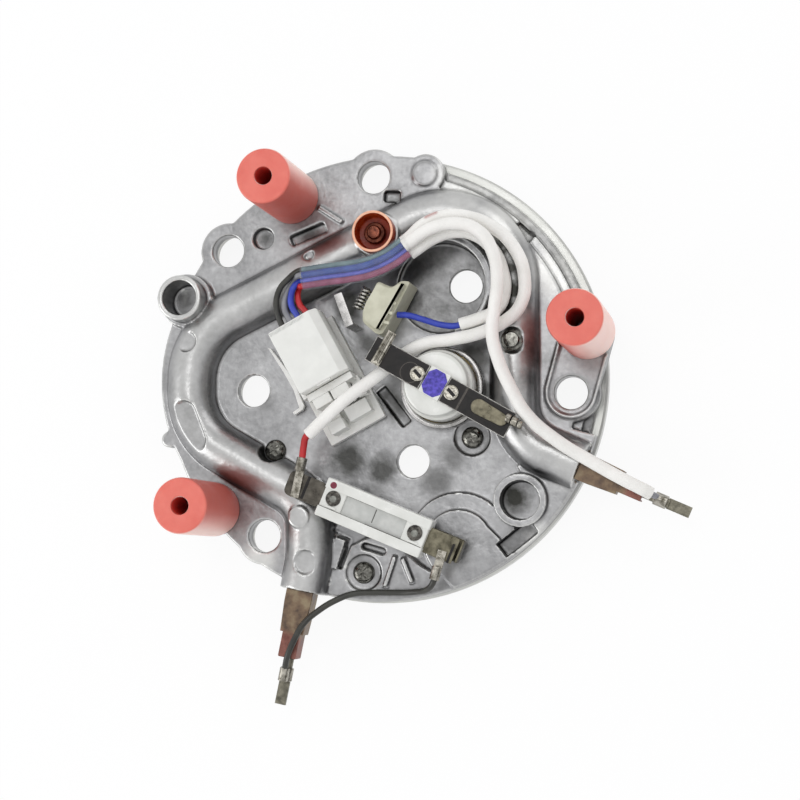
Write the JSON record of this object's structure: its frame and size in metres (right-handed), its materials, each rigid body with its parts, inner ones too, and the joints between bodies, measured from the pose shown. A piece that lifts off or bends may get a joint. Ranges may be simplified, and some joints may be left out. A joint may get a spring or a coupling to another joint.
{
  "type": "steam iron boiler heating element",
  "caption": "Round cast heater plate with an embedded tubular element, rubber standoffs, two cut-outs, a plug connector and sleeved leads.",
  "frame": {"origin": "centre of the chamber disc's flat rest face", "axes": "+Z from the rest face to the wiring side, +X towards the right standoff, +Y towards the top bolt hole"},
  "size_m": [0.1475, 0.1533, 0.04],
  "materials": {
    "cast_alloy": "rough die cast, heat stained",
    "machined_plate": "turned, dull",
    "sheath_steel": "heat tinted",
    "magnesia": "pressed powder",
    "heating_wire": "drawn",
    "pin_steel": "drawn",
    "seal_silicone": "matte",
    "shroud_steel": "heat tinted brown",
    "tinned_steel": "tinned",
    "standoff_silicone": "satin",
    "cap_aluminium": "drawn",
    "bimetal": "rolled",
    "white_ceramic": "unglazed",
    "blade_steel": "blackened",
    "brass_sheet": "aged",
    "rivet_metal": "nickel plated",
    "leaf_metal": "heat tinted",
    "screw_steel": "zinc plated",
    "cup_plastic": "glossy",
    "connector_nylon": "satin",
    "tray_nylon": "satin",
    "cream_nylon": "satin",
    "glass_fibre": "braided",
    "clear_sleeve": "clear, tinted",
    "red_silicone": "satin",
    "blue_silicone": "satin",
    "black_silicone": "satin",
    "grey_silicone": "satin"
  },
  "bodies": {
    "root": {"chamber_disc": "machined_plate", "heater_casting": "cast_alloy", "element_sheath": "sheath_steel", "element_filling": "magnesia", "resistance_coil": "heating_wire", "cold_pin_bottom": "pin_steel", "cold_pin_right": "pin_steel", "end_seal_bottom": "seal_silicone", "end_seal_right": "seal_silicone", "shroud_bottom": "shroud_steel", "shroud_right": "shroud_steel", "end_crimp_bottom": "tinned_steel", "end_crimp_right": "tinned_steel", "standoff_top": "standoff_silicone", "standoff_right": "standoff_silicone", "standoff_left": "standoff_silicone", "limiter_cap": "cap_aluminium", "limiter_disc": "bimetal", "limiter_push_pin": "white_ceramic", "limiter_body": "white_ceramic", "blade_left": "blade_steel", "blade_right": "blade_steel", "blade_rivets": "rivet_metal", "blade_crimp_left": "tinned_steel", "blade_crimp_right": "brass_sheet", "bar_bracket": "brass_sheet", "bar_body": "white_ceramic", "bar_leaf_left": "leaf_metal", "bar_leaf_right": "brass_sheet", "bar_rivets": "rivet_metal", "bar_crimp_left": "tinned_steel", "bar_crimp_right": "tinned_steel", "fixing_screws": "screw_steel", "crown_stud": "screw_steel", "sealing_cup": "cup_plastic", "cup_screw": "screw_steel", "connector_housing": "connector_nylon", "connector_tray": "tray_nylon", "connector_contacts": "brass_sheet", "sensor_holder": "cream_nylon", "ribbed_sensor": "tinned_steel", "sensor_clip": "tinned_steel", "bundle_sleeve": "clear_sleeve", "outer_sleeve": "glass_fibre", "middle_sleeve": "glass_fibre", "inner_sleeve": "glass_fibre", "red_lead": "red_silicone", "blue_lead": "blue_silicone", "black_lead": "black_silicone", "inner_lead": "grey_silicone", "plug_lead_1": "black_silicone", "plug_lead_2": "grey_silicone", "plug_lead_3": "blue_silicone", "plug_lead_4": "red_silicone"}
  },
  "joints": []
}
